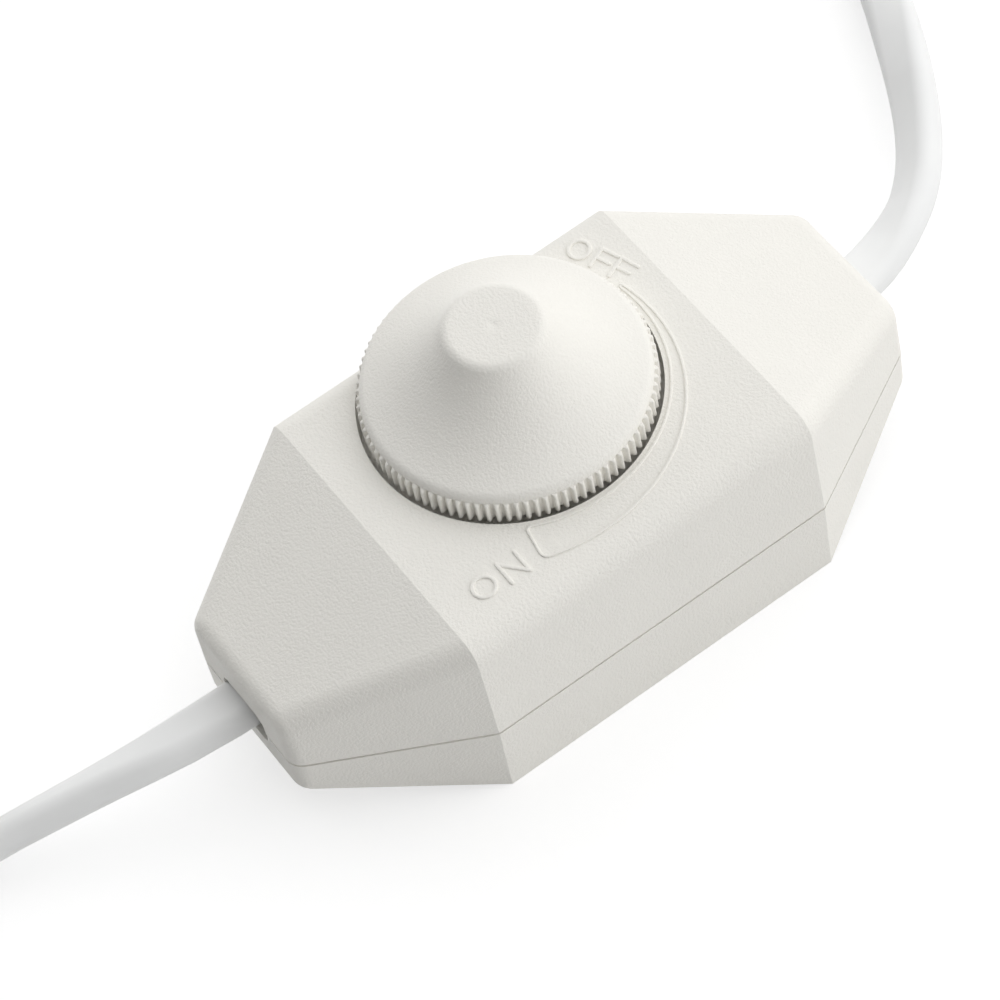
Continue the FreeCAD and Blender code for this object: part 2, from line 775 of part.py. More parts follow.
def add_screws(label, places, seat, radius, length, head_radius, head_height, down):
    """Round-headed screws. The head's flat side is at seat, and the shank points down or up."""
    r, reach, head, rise = val(radius), val(length), val(head_radius), val(head_height)
    shank = [(0, -reach), (r, -reach), (r, 0)]
    crown = [(head, 0), (head, rise / 2), (head * sizes["head_crown"], rise), (0, rise)]
    screw = turned_solid(shank + crown)
    if not down:
        screw.rotate(Vector(0, 0, 0), Vector(1, 0, 0), 180)
    copies = []
    for x, y in places:
        copy = screw.copy()
        copy.translate(Vector(val(x), val(y), val(seat)))
        copies.append(copy)
    add_shape(label, Part.Compound(copies))


def rounded_path(points, radii=None):
    """Straight runs joined by tangent arcs, each as large as its two runs allow unless a radius is given."""
    points = [Vector(*p) for p in points]
    edges, found, start = [], [], points[0]
    for i in range(1, len(points) - 1):
        before, after = points[i - 1] - points[i], points[i + 1] - points[i]
        turn = math.pi - before.getAngle(after)
        shorter = min(before.Length, after.Length)
        radius = radii if radii else 0.45 * shorter / math.tan(turn / 2)
        trim = radius * math.tan(turn / 2)
        enter = points[i] + before.normalize() * trim
        leave = points[i] + after.normalize() * trim
        inward = (before + after).normalize()
        middle = points[i] + inward * (radius / math.cos(turn / 2) - radius)
        edges += [Part.LineSegment(start, enter).toShape(), Part.Arc(enter, middle, leave).toShape()]
        found.append(radius)
        start = leave
    edges.append(Part.LineSegment(start, points[-1]).toShape())
    return Part.Wire(edges), found


def round_tube(path, radius):
    start = path.Vertexes[0].Point
    heading = path.Edges[0].tangentAt(path.Edges[0].FirstParameter)
    ring_wire = Part.Wire([Part.makeCircle(radius, start, heading)])
    return path.makePipeShell([ring_wire], True, False)


def make_wires():
    ends = (("in", -1), ("out", 1))
    cores = (("live", 1), ("neutral", -1))
    for (way, end), (core, side) in itertools.product(ends, cores):
        y = val("cord_side") + side * val("core_pitch") / 2
        start = (end * val(stripped_x), y, val("parting_height"))
        bend = (end * val(pad_x), y, val("parting_height"))
        foot = (end * val(pad_x), y, val(board_top))
        path, _ = rounded_path([start, bend, foot], val("core_bend"))
        add_shape(f"{core}_wire_{way}", round_tube(path, val("core_radius")))


# Flat cords. Each route is a list of points in millimetres, rounded by the largest arcs that its runs allow.
def exit_points(end):
    """The straight start of a cord, from its stripped end through the slot."""
    inside, outside = val(stripped_x), val(f"{half_length} + exit_run")
    return [(end * x, val("cord_side"), val("parting_height")) for x in (inside, outside)]


def coil_corner(side, layer):
    """Where the outer turn of a layer starts (1) or ends (-1) its straight run on the near side."""
    x = val("coil_x") + side * val("coil_run / 2")
    y = val("coil_y - coil_radius - cord_width / 2")
    return (x, y, val("cord_thickness") * (layer - 0.5) + val("cord_lift"))


line_route = exit_points(-1) + [(-63.0, 5.2, 7.4), (-77.0, 9.4, 3.3)]
line_route.append(coil_corner(1, 1))
tail_route = [coil_corner(-1, sizes["coil_layers"])]
tail_route += [(-121.6, 9.5, 13.0), (-133.0, 9.5, 6.95), (-143.6, 9.5, 6.85)]
load_route = exit_points(1) + [(61.6, 10.8, 7.1), (71.2, 27.0, 4.2), (77.6, 42.2, 3.2)]


def flat_section(start, heading):
    """Rounded rectangle across the heading, with its long side level."""
    across = Vector(0, 0, 1).cross(heading).normalize()
    rise = heading.cross(across).normalize()
    half, thick, corner = (val(n) for n in ("cord_width / 2", "cord_thickness / 2", "cord_corner"))
    corners = []
    for u, v in ((1, 1), (-1, 1), (-1, -1), (1, -1)):
        middle = start + across * (u * (half - corner)) + rise * (v * (thick - corner))
        first, last = (across * u, rise * v) if u * v > 0 else (rise * v, across * u)
        between = middle + (first + last).normalize() * corner
        corners.append((middle + first * corner, between, middle + last * corner))
    edges = []
    for here, after in zip(corners, corners[1:] + corners[:1]):
        edges.append(Part.Arc(*here).toShape())
        edges.append(Part.LineSegment(here[2], after[0]).toShape())
    return Part.Wire(edges)


def make_cord(label, route):
    path, radii = rounded_path(route)
    heading = (Vector(*route[1]) - Vector(*route[0])).normalize()
    section = flat_section(Vector(*route[0]), heading)
    add_shape(label, path.makePipeShell([section], True, False))
    print(label, "length", round(path.Length, 1), "radii", [round(r) for r in radii])


def long_ring(body, kind, name, radius, height):
    """Straight-sided loop with round ends, as wide as two radii."""
    half = "coil_run / 2"
    sketch = new_sketch(body, f"{name}_sketch")
    end = f"{half} + {radius}"
    right = [(half, f"-{radius}"), (end, "0", radius, 1), (half, radius, radius, 1)]
    left = [(f"-{half}", radius), (f"-({end})", "0", radius, 1), (f"-{half}", f"-{radius}", radius, 1)]
    outline(sketch, right + left)
    make = pad if kind == "Pad" else pocket
    make(body, name, sketch, height, True)


def make_coil():
    """The put-away turns as one long ring, two turns wide, with a strap round its near side."""
    inner, outer = "(coil_radius - cord_width)", "(coil_radius + cord_width)"
    top = "(coil_layers * cord_thickness)"
    coil = new_body("line_cord_coil", "coil_x", "coil_y")
    long_ring(coil, "Pad", "turns", outer, top)
    long_ring(coil, "Pocket", "middle", inner, top)
    half = "tie_width / 2"
    near, far = f"(-{outer} - tie_gap)", f"(-{inner} + tie_gap)"
    groove = new_sketch(coil, "tie_groove_sketch")
    side = f"({half} + tie_gap)"
    rectangle(groove, f"-{side}", f"{near} - cord_width", side, f"{far} + cord_width")
    pocket(coil, "tie_groove", groove, "tie_thickness + tie_gap", True)
    tie = new_body("coil_tie", "coil_x", "coil_y")
    roof = f"{top} + tie_gap"
    wall = "tie_thickness"
    block(tie, "strap", f"-{half}", half, f"{near} - {wall}", f"{far} + {wall}", "0", f"{roof} + {wall}")
    inside = new_sketch(tie, "inside_sketch", "YZ_Plane", f"-{half}")
    rectangle(inside, near, wall, far, roof)
    pocket(tie, "inside", inside, "tie_width", True)


def place_along(piece, route):
    last, before = Vector(*route[-1]), Vector(*route[-2])
    heading = math.degrees(math.atan2(last.y - before.y, last.x - before.x))
    piece.Placement = Placement(last, Rotation(Vector(0, 0, 1), heading))


def make_plug():
    """Flat two-pin plug along its own X axis, from the cord's end to the pins."""
    body = new_body("plug_body")
    face = "plug_neck + plug_length"
    thick = "plug_thickness / 2"
    sketch = new_sketch(body, "plug_sketch", offset=f"-{thick}")
    shoulder = ("plug_neck + plug_slant", "plug_width / 2")
    quarter = [(face, "plug_width / 2"), shoulder, ("plug_neck", "plug_rear / 2")]
    outline(sketch, [(x, f"-{y}") for x, y in quarter[::-1]] + quarter)
    block_shape = pad(body, "block", sketch, "plug_thickness")
    front = val(face)
    edges = edges_where(block_shape, lambda e: e.BoundBox.XMin < front - 1e-6)
    dress(body, "Fillet", "soft_edges", block_shape, edges, "Radius", "plug_edge")
    neck = new_sketch(body, "neck_sketch", "YZ_Plane")
    rectangle(neck, "-neck_width / 2", "-neck_thickness / 2", "neck_width / 2", "neck_thickness / 2")
    pad(body, "neck", neck, "plug_neck + plug_slant / 2")
    place_along(body, tail_route)
    radius, length, tip = val("pin_radius"), val("pin_length"), val("pin_tip")
    pin = turned_solid([(0, 0), (radius, 0), (radius, length - tip), (radius - tip, length), (0, length)])
    pin.rotate(Vector(0, 0, 0), Vector(0, 1, 0), 90)
    copies = []
    for side in (-1, 1):
        copy = pin.copy()
        copy.translate(Vector(front, side * val("pin_pitch") / 2, 0))
        copies.append(copy)
    place_along(add_shape("plug_pins", Part.Compound(copies)), tail_route)


def make_load_end():
    """Two stripped cores at the lamp end, each with a crimped sleeve."""
    sleeves = []
    for label, side in (("load_live_core", 1), ("load_neutral_core", -1)):
        foot = Vector(val("end_core_gap"), side * val("core_pitch") / 2, 0)
        tip = foot + Vector(val("end_core_length"), 0, 0)
        along = Vector(1, 0, 0)
        core = Part.makeCylinder(val("core_radius"), val("end_core_length"), foot, along)
        place_along(add_shape(label, core), load_route)
        sleeves.append(Part.makeCylinder(val("ferrule_radius"), val("ferrule_length"), tip, along))
    place_along(add_shape("load_ferrules", Part.Compound(sleeves)), load_route)


doc.recompute()
make_top_housing()
make_bottom_cover()
make_knob()
make_shaft()
make_potentiometer()
make_board()
make_triac()
make_choke()
make_box_part("film_capacitor", "0", "film_y", "film_length", "film_width", "film_height")
make_box_part("timing_capacitor", "timing_x", "film_y", "timing_length", "timing_width", "timing_height")
make_axial_parts()
make_clamps()
clamp_seat = f"{cord_top} + clamp_height"
clamp_screw = ("clamp_screw_radius", "clamp_screw_length", "clamp_head_radius", "clamp_head_height")
housing_screw = ("screw_radius", "screw_length", "screw_head_radius", "screw_head_height")
add_screws("clamp_screws", clamp_posts, clamp_seat, *clamp_screw, True)
add_screws("housing_screws", posts, "head_seat", *housing_screw, False)
make_wires()
make_cord("line_cord", line_route)
make_coil()
make_cord("line_cord_tail", tail_route)
make_plug()
make_cord("load_cord", load_route)
make_load_end()
doc.recompute()

# Every piece is checked before it is written
pieces = [o for o in doc.Objects if o.TypeId in ("PartDesign::Body", "Part::Feature")]
for item in doc.Objects:
    if "Invalid" in item.State or "Error" in item.State:
        raise RuntimeError(f"{item.Name} failed: {item.State}")
for piece in pieces:
    if piece.Shape.isNull() or not piece.Shape.isValid():
        raise RuntimeError(f"{piece.Label} has no valid shape")
os.makedirs("parts", exist_ok=True)
for piece in pieces:
    piece.Shape.exportStep(f"parts/{piece.Label}.step")
    print(piece.Label, len(piece.Shape.Solids), "solids", round(piece.Shape.Volume, 1), "mm3")
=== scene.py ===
import json
import math

import bmesh
import bpy
import numpy as np
from mathutils import Matrix, Vector


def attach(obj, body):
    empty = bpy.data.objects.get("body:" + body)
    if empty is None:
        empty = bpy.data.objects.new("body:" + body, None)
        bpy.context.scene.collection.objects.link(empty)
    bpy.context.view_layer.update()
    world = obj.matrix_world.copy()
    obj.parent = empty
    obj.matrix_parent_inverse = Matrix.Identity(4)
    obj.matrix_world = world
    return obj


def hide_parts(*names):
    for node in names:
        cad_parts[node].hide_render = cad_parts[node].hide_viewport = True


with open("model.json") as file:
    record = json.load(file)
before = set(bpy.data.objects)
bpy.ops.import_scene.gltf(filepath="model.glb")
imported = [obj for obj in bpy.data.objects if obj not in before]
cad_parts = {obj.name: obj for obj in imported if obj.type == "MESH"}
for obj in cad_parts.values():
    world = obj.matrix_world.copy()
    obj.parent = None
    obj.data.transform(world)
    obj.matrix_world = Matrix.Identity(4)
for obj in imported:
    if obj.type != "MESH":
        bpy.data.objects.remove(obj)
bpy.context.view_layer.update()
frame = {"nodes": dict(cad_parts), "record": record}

nodes = frame["nodes"]
mm = 0.001
print("frame loaded with", len(nodes), "nodes")


# Meshes from numpy grids

weld = {"doubles": 1e-7, "slivers": 1e-8}  # metres


def gridFaces(rows, columns):
    # a cell joins row i to row i + 1 and column j to the next, the last column to the first
    i, j = np.meshgrid(np.arange(rows - 1), np.arange(columns), indexing="ij")
    k = (j + 1) % columns
    corners = [i * columns + j, i * columns + k, (i + 1) * columns + k, (i + 1) * columns + j]
    return np.stack(corners, -1).reshape(-1, 4)


def joinGrids(grids):
    # several grids of points as one list of points and one of cells
    points, faces, start = [], [], 0
    for grid in grids:
        points.append(grid.reshape(-1, 3))
        faces.append(gridFaces(grid.shape[0], grid.shape[1]) + start)
        start += grid.shape[0] * grid.shape[1]
    return np.concatenate(points), np.concatenate(faces)


def makePiece(name, grids, body, slot, sharp):
    # grids in millimetres; rows shrunk to a point close the ends, doubles merge and faces turn outwards
    points, faces = joinGrids(grids)
    mesh = bpy.data.meshes.new(name)
    mesh.from_pydata(points * mm, [], faces.tolist())
    work = bmesh.new()
    work.from_mesh(mesh)
    bmesh.ops.remove_doubles(work, verts=work.verts, dist=weld["doubles"])
    bmesh.ops.dissolve_degenerate(work, edges=work.edges, dist=weld["slivers"])
    bmesh.ops.recalc_face_normals(work, faces=work.faces)
    work.to_mesh(mesh)
    work.free()
    mesh.shade_smooth()
    mesh.set_sharp_from_angle(angle=math.radians(sharp))
    piece = bpy.data.objects.new(name, mesh)
    bpy.context.scene.collection.objects.link(piece)
    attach(piece, body)
    mesh.materials.append(materials[slot])
    return piece


# Finishes

def addNode(tree, kind, inputs=None, **settings):
    made = tree.nodes.new(kind)
    for key, value in settings.items():
        setattr(made, key, value)
    for key, value in (inputs or {}).items():
        if isinstance(value, bpy.types.NodeSocket):
            tree.links.new(value, made.inputs[key])
        else:
            made.inputs[key].default_value = value
    return made


def objectNoise(tree, scale, detail=2.0, stretch=(1, 1, 1)):
    # noise on Object coordinates, scale in cells for each metre
    place = addNode(tree, "ShaderNodeTexCoord").outputs["Object"]
    turned = addNode(tree, "ShaderNodeMapping", {"Vector": place, "Scale": stretch})
    settings = {"Vector": turned.outputs[0], "Scale": scale, "Detail": detail}
    return addNode(tree, "ShaderNodeTexNoise", settings).outputs["Fac"]


noiseSpan = (0.3, 0.7)  # nearly all of a noise's values lie between these
roughSpan = 0.06
blotchScale = 150
grainDetail = 3.0


def between(tree, factor, low, high):
    spread = {"From Min": noiseSpan[0], "From Max": noiseSpan[1], "To Min": low, "To Max": high}
    return addNode(tree, "ShaderNodeMapRange", {"Value": factor, **spread}).outputs[0]


def toned(tree, factor, first, second):
    # first where the noise is low, second where it is high
    mix = addNode(tree, "ShaderNodeMix", data_type="RGBA")
    tree.links.new(between(tree, factor, 0, 1), mix.inputs["Factor"])
    mix.inputs[6].default_value = (*first, 1)
    mix.inputs[7].default_value = (*second, 1)
    return mix.outputs[2]


def finish(name, color, rough, shift=0.97, grain=2500, depth=0.012, metal=0.0, stretch=(1, 1, 1)):
    # a surface that varies a little in tone and roughness, with a fine grain as bump; depth is in millimetres
    material = bpy.data.materials.new(name)
    material.use_nodes = True
    tree = material.node_tree
    shader = tree.nodes["Principled BSDF"]
    cloud = objectNoise(tree, blotchScale)
    tree.links.new(toned(tree, cloud, color, [c * shift for c in color]), shader.inputs["Base Color"])
    fine = objectNoise(tree, grain, grainDetail, stretch)
    tree.links.new(between(tree, fine, rough - roughSpan, rough + roughSpan), shader.inputs["Roughness"])
    bump = addNode(tree, "ShaderNodeBump", {"Height": fine, "Strength": 1.0, "Distance": depth * mm})
    tree.links.new(bump.outputs[0], shader.inputs["Normal"])
    shader.inputs["Metallic"].default_value = metal
    return material


brushed = (1, 1, 0.04)
finishes = {
    "housing_white": dict(color=(0.873, 0.856, 0.806), rough=0.55, shift=0.985, grain=3200, depth=0.09),
    "knob_white": dict(color=(0.87, 0.853, 0.803), rough=0.52, shift=0.985, grain=3200, depth=0.085),
    "cord_white": dict(color=(0.85, 0.855, 0.85), rough=0.42, grain=900, depth=0.006),
    "plug_white": dict(color=(0.86, 0.855, 0.83), rough=0.48, grain=2000, depth=0.012),
    "pin_nickel": dict(
        color=(0.74, 0.72, 0.67), rough=0.24, metal=1.0, grain=4000, depth=0.002, stretch=brushed,
    ),
    "screw_steel": dict(color=(0.60, 0.61, 0.62), rough=0.32, metal=1.0, grain=5000, depth=0.003),
    "bushing_brass": dict(color=(0.72, 0.55, 0.27), rough=0.3, metal=1.0, grain=4000, depth=0.003),
    "shaft_aluminium": dict(
        color=(0.78, 0.79, 0.80), rough=0.34, metal=1.0, grain=4000, depth=0.003, stretch=brushed,
    ),
    "can_steel": dict(color=(0.63, 0.62, 0.60), rough=0.36, metal=1.0, grain=3000, depth=0.003),
    "track_brown": dict(color=(0.22, 0.13, 0.07), rough=0.55, grain=1800, depth=0.01),
    "rotor_black": dict(color=(0.03, 0.03, 0.032), rough=0.45, shift=0.8),
    "switch_black": dict(color=(0.035, 0.034, 0.033), rough=0.5, shift=0.8),
    "board_tan": dict(
        color=(0.50, 0.34, 0.16), rough=0.6, shift=0.85, grain=700, depth=0.02, stretch=(1, 8, 1),
    ),
    "sink_aluminium": dict(
        color=(0.80, 0.81, 0.82), rough=0.4, metal=1.0, grain=3000, depth=0.004, stretch=(0.05, 1, 1),
    ),
    "package_black": dict(color=(0.028, 0.028, 0.03), rough=0.55, shift=0.8, grain=3500, depth=0.012),
    "ferrite_grey": dict(color=(0.075, 0.075, 0.08), rough=0.62, shift=0.8, grain=1500, depth=0.03),
    "winding_copper": dict(
        color=(0.62, 0.26, 0.10), rough=0.3, metal=1.0, grain=450, depth=0.12, stretch=(0.05, 0.05, 4),
    ),
    "film_yellow": dict(color=(0.72, 0.52, 0.08), rough=0.35, grain=900, depth=0.008),
    "timing_green": dict(color=(0.08, 0.26, 0.10), rough=0.35, grain=900, depth=0.012),
    "diac_blue": dict(color=(0.08, 0.17, 0.42), rough=0.3, grain=1200, depth=0.006),
    "resistor_tan": dict(color=(0.62, 0.47, 0.29), rough=0.45, grain=1500, depth=0.012),
    "fuse_brown": dict(color=(0.25, 0.12, 0.06), rough=0.4, grain=1200, depth=0.01),
    "live_brown": dict(color=(0.17, 0.075, 0.04), rough=0.42, grain=900, depth=0.006),
    "neutral_blue": dict(color=(0.07, 0.19, 0.50), rough=0.42, grain=900, depth=0.006),
    "clamp_grey": dict(color=(0.42, 0.42, 0.41), rough=0.5, grain=2000, depth=0.012),
    "tie_black": dict(color=(0.022, 0.022, 0.024), rough=0.62, shift=0.75, grain=1200, depth=0.06),
    "ferrule_tin": dict(color=(0.66, 0.66, 0.64), rough=0.35, metal=1.0, grain=3500, depth=0.003),
}
materials = {slot: finish(slot, **facts) for slot, facts in finishes.items()}
for part in frame["record"]["subparts"]:
    mesh = nodes[part["node"]].data
    mesh.materials.clear()
    mesh.materials.append(materials[part["material_slot"]])


# Camera, at the photograph's angle

camera = {
    "eye": (-109.519, -238.359, 409.075),
    "right": (0.80704888, -0.57424821, -0.13751766),
    "up": (0.5481825, 0.64206994, 0.53594976),
    "back": (-0.21947223, -0.50792242, 0.83297464),
    "lens": 153.817,
    "sensor": 36,
    "near": 0.01,
}
cameraData = bpy.data.cameras.new("photoCamera")
cameraData.sensor_width = camera["sensor"]
cameraData.lens = camera["lens"]
cameraData.clip_start = camera["near"]
photoCamera = bpy.data.objects.new("photoCamera", cameraData)
bpy.context.scene.collection.objects.link(photoCamera)
axes = Matrix((camera["right"], camera["up"], camera["back"])).transposed().to_4x4()
photoCamera.matrix_world = Matrix.Translation([x * mm for x in camera["eye"]]) @ axes
bpy.context.scene.camera = photoCamera
print("camera placed")


# Flat two-core cords: a rounded section carried along the route's NURBS line. A roll pairs millimetres along
# the line with degrees about it: the cords turn a little on their way and lie flat at their ends

cordFacts = {
    "width": 6.0,
    "thickness": 3.8,
    "corner": 1.5,
    "around": 9,
    "ease": 5.0,
    "easeSteps": 11,
    "sharp": 50,
}
lineCord = {
    "route": [(-30, 0.9, 11.3), (-46, 1.1, 11.3), (-61.5, 5.2, 7.9), (-76.5, 9.8, 3.35), (-91.6, 9.5, 2.0)],
    "tail": [(-111.6, 9.5, 13.4), (-121.6, 9.5, 13.0), (-133, 9.5, 6.95), (-143.6, 9.5, 6.85)],
    "roll": ((0, 14, 27, 46, 62), (0, 0, 37, 50, 0)),
    "exit": (-42, 0.9, 11.3),
    "length": 1306,
    "perPoint": 4,
}
coil = {
    "centre": (-101.6, 33.5),
    "straight": 20.0,
    "radii": (24, 18, 18, 24, 24, 18, 18, 24),
    "levels": (0, 0, 1, 1, 2, 2, 3, 3),
    "first": 1.9,
    "layer": 3.8,
    "perTurn": 36,
    "change": (185, 18, 50),
    "tie": (5.0, 0.9),
}
loadCord = {
    "route": [
        (30, 0.9, 11.3), (41, 1.0, 11.3), (50, 3.6, 9.9),
        (60.3, 10.4, 7.3), (70.9, 26.6, 4.3), (77.6, 42.2, 3.2),
    ],
    "roll": ((0, 16, 25, 40, 52, 64), (0, 0, -42, -50, -35, 0)),
    "exit": (42, 0.9, 11.3),
    "length": 72,
    "perPoint": 12,
}


def smoothStep(value, low, high):
    t = np.clip((value - low) / (high - low), 0, 1)
    return t * t * (3 - 2 * t)


def coilPoints():
    # each turn keeps its column and layer, then moves to the next turn's over part of its way, the last turn
    # soonest; the control circle is wider by the share that a quadratic spline cuts inside its points
    count = coil["perTurn"]
    within = (np.arange(count) + 0.5) * 360 / count
    cos, sin = np.cos(np.radians(-90 - within)), np.sin(np.radians(-90 - within))
    widen = 1 / (0.75 + 0.25 * math.cos(2 * math.pi / count))
    x, y = coil["centre"]
    reach, lift = coil["tie"]
    first, step, span = coil["change"]
    radii, levels = coil["radii"], coil["levels"]
    turns = len(radii) - 1
    points = []
    for turn in range(turns + 1):
        z = coil["first"] + coil["layer"] * levels[turn]
        raised = z + lift * (1 - levels[turn] / levels[-1])
        points += [(x + side * reach, y - radii[turn], raised) for side in (1, 0, -1)]
        if turn == turns:
            break
        start = first + step * (turns - 1 - turn)
        moved = smoothStep(within, start, start + span)
        wide = (radii[turn] + (radii[turn + 1] - radii[turn]) * moved) * widen
        height = z + coil["layer"] * (levels[turn + 1] - levels[turn]) * moved
        across = x + np.sign(cos) * coil["straight"] / 2 + wide * cos
        points += np.stack([across, y + wide * sin, height], -1).tolist()
    return np.array(points)


def splinePoints(name, route, perPoint):
    # the line of a NURBS spline that has the route's points as its control points, read back as a polyline
    curve = bpy.data.curves.new(name, "CURVE")
    curve.dimensions = "3D"
    curve.resolution_u = perPoint
    spline = curve.splines.new("NURBS")
    spline.points.add(len(route) - 1)
    spline.points.foreach_set("co", np.column_stack([route * mm, np.ones(len(route))]).ravel())
    spline.order_u = 3
    spline.use_endpoint_u = True
    holder = bpy.data.objects.new(name, curve)
    bpy.context.scene.collection.objects.link(holder)
    line = bpy.data.meshes.new_from_object(holder)
    points = np.zeros(len(line.vertices) * 3)
    line.vertices.foreach_get("co", points)
    bpy.data.objects.remove(holder)
    bpy.data.meshes.remove(line)
    return points.reshape(-1, 3) / mm


def flatSection():
    # a rectangle with four quarter-circle corners, as (across, up) pairs
    radius = cordFacts["corner"]
    turn = np.linspace(0, math.pi / 2, cordFacts["around"])
    across, up = cordFacts["width"] / 2 - radius, cordFacts["thickness"] / 2 - radius
    quarters = []
    for index, (a, u) in enumerate([(1, 1), (-1, 1), (-1, -1), (1, -1)]):
        angle = turn + index * math.pi / 2
        quarters.append(np.stack([a * across + radius * np.cos(angle), u * up + radius * np.sin(angle)], -1))
    return np.concatenate(quarters)


def flatTube(line, roll):
    # the section stands square to the line, its width level except for the roll; both ends close on the line
    ahead = np.gradient(line, axis=0)
    ahead /= np.linalg.norm(ahead, axis=1)[:, None]
    level = np.cross((0, 0, 1), ahead)
    level /= np.linalg.norm(level, axis=1)[:, None]
    upright = np.cross(ahead, level)
    cos, sin = np.cos(roll)[:, None], np.sin(roll)[:, None]
    side, top = level * cos + upright * sin, upright * cos - level * sin
    section = flatSection()
    rings = line[:, None] + section[None, :, :1] * side[:, None] + section[None, :, 1:] * top[:, None]
    first = np.repeat(line[:1, None], len(section), axis=1)
    last = np.repeat(line[-1:, None], len(section), axis=1)
    return np.concatenate([first, rings, last])


def makeCord(name, route, facts, **declared):
    line = splinePoints(name + "Line", np.array(route, float), facts["perPoint"])
    run = np.append(0, np.cumsum(np.linalg.norm(np.diff(line, axis=0), axis=1)))
    # a moving mean eases the roll from stretch to stretch
    near = run[:, None] + cordFacts["ease"] * np.linspace(-1, 1, cordFacts["easeSteps"])
    roll = np.interp(near, *facts["roll"]).mean(axis=1)
    piece = makePiece(name, [flatTube(line, np.radians(roll))], "housing", "cord_white", cordFacts["sharp"])
    print(name, "is", round(run[-1], 1), "mm long")
    return piece


linePoints = np.concatenate([np.array(lineCord["route"]), coilPoints(), np.array(lineCord["tail"])])
mainsCord = makeCord(
    "mains_cord", linePoints, lineCord, far_end="plug", lay="coiled",
    with_pieces=[nodes["plug_body"], nodes["plug_pins"], nodes["coil_tie"]],
)
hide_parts("line_cord", "line_cord_coil", "line_cord_tail")
lampCord = makeCord(
    "lamp_cord", loadCord["route"], loadCord, far_end="bare", lay="loose",
    with_pieces=[nodes["load_live_core"], nodes["load_neutral_core"], nodes["load_ferrules"]],
)
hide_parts("load_cord")


# Knob: a bell turned from one profile, with half-round ribs round its rim

knob = {
    "axis": (0, 5.2),
    "ribs": 96,
    "perRib": 12,
    "tip": 16.63,
    "root": 16.02,
    "shoulder": 16.2,
    "ribTop": 29.9,
    "ribEnd": 0.4,
    "ribWide": 0.3,
    "rimUnder": 27.1,
    "rimInner": 14.55,
    "shoulderRound": 1.3,
    "footSlope": 0.408,
    "flankRadius": 19.8,
    "crownSlope": 1.713,
    "top": 40.1,
    "disc": 4.8,
    "discEdge": 1.3,
    "gate": (0.3, 0.45, 0.04),
    "discRings": (1.2, 5),
    "arcSteps": (7, 22, 9),
    "rimSteps": (8, 5),
    "rimCrowd": 1.5,
    "hub": 5.0,
    "hubUnder": 27.9,
    "hubInside": 34.9,
    "bellInside": 29.9,
    "bellCorner": 1.0,
    "bore": 3.02,
    "boreFlat": 1.52,
    "boreTop": 37.72,
    "nearZero": 0.1,
    "sharp": 35,
}


def arcThrough(first, second, radius, side, count):
    # points on the arc of that radius from first to second, its centre on the given side of the chord
    first, second = np.array(first), np.array(second)
    middle, chord = (first + second) / 2, second - first
    half = np.linalg.norm(chord) / 2
    normal = np.array([-chord[1], chord[0]]) / (2 * half)
    centre = middle + side * normal * math.sqrt(radius ** 2 - half ** 2)
    a, b = np.arctan2(*(first - centre)[::-1]), np.arctan2(*(second - centre)[::-1])
    sweep = (b - a + math.pi) % (2 * math.pi) - math.pi
    angle = a + sweep * np.linspace(0, 1, count)
    return centre + radius * np.stack([np.cos(angle), np.sin(angle)], -1)


def knobProfile():
    # radius and height down the outside from the disc's middle to the rim, then up the inside to the bore
    slopeFoot, slopeCrown = math.hypot(1, knob["footSlope"]), math.hypot(1, knob["crownSlope"])
    bend, edge, top, ribTop = knob["shoulderRound"], knob["discEdge"], knob["top"], knob["ribTop"]
    foot = (knob["shoulder"] - bend + bend * knob["footSlope"] / slopeFoot, ribTop + bend / slopeFoot)
    crown = (knob["disc"] + edge * knob["crownSlope"] / slopeCrown, top - edge + edge / slopeCrown)
    gateFloor, gateMouth, gateDeep = knob["gate"]
    disc = [(0, top - gateDeep), (gateFloor, top - gateDeep), (gateMouth, top)]
    firstRing, rings = knob["discRings"]
    disc += [(r, top) for r in np.linspace(firstRing, knob["disc"], rings)]
    edgeSteps, flankSteps, shoulderSteps = knob["arcSteps"]
    rounded = arcThrough((knob["disc"], top), crown, edge, -1, edgeSteps)[1:]
    flank = arcThrough(crown, foot, knob["flankRadius"], 1, flankSteps)[1:]
    shoulder = arcThrough(foot, (knob["shoulder"], ribTop), bend, -1, shoulderSteps)[1:]
    endSteps, lowSteps = knob["rimSteps"]
    crowded = np.linspace(0, 1, endSteps)[1:] ** knob["rimCrowd"]  # closer rows where a rib begins
    ribEnds = ribTop - knob["ribEnd"] * crowded
    below = np.linspace(ribTop - knob["ribEnd"], knob["rimUnder"], lowSteps)[1:]
    rim = [(knob["shoulder"], z) for z in [*ribEnds, *below]]
    inside = knob["rimInner"]
    corner = knob["bellCorner"]
    within = [
        (inside, knob["rimUnder"]), (inside, knob["bellInside"] - corner),
        (inside - corner, knob["bellInside"]), (knob["hub"], knob["hubInside"]),
        (knob["hub"], knob["hubUnder"]), (knob["bore"], knob["hubUnder"]),
        (knob["bore"], knob["boreTop"]), (0, knob["boreTop"]),
    ]
    aboveRim = np.concatenate([disc, rounded, flank, shoulder])
    return np.concatenate([aboveRim, rim, within]), len(aboveRim)


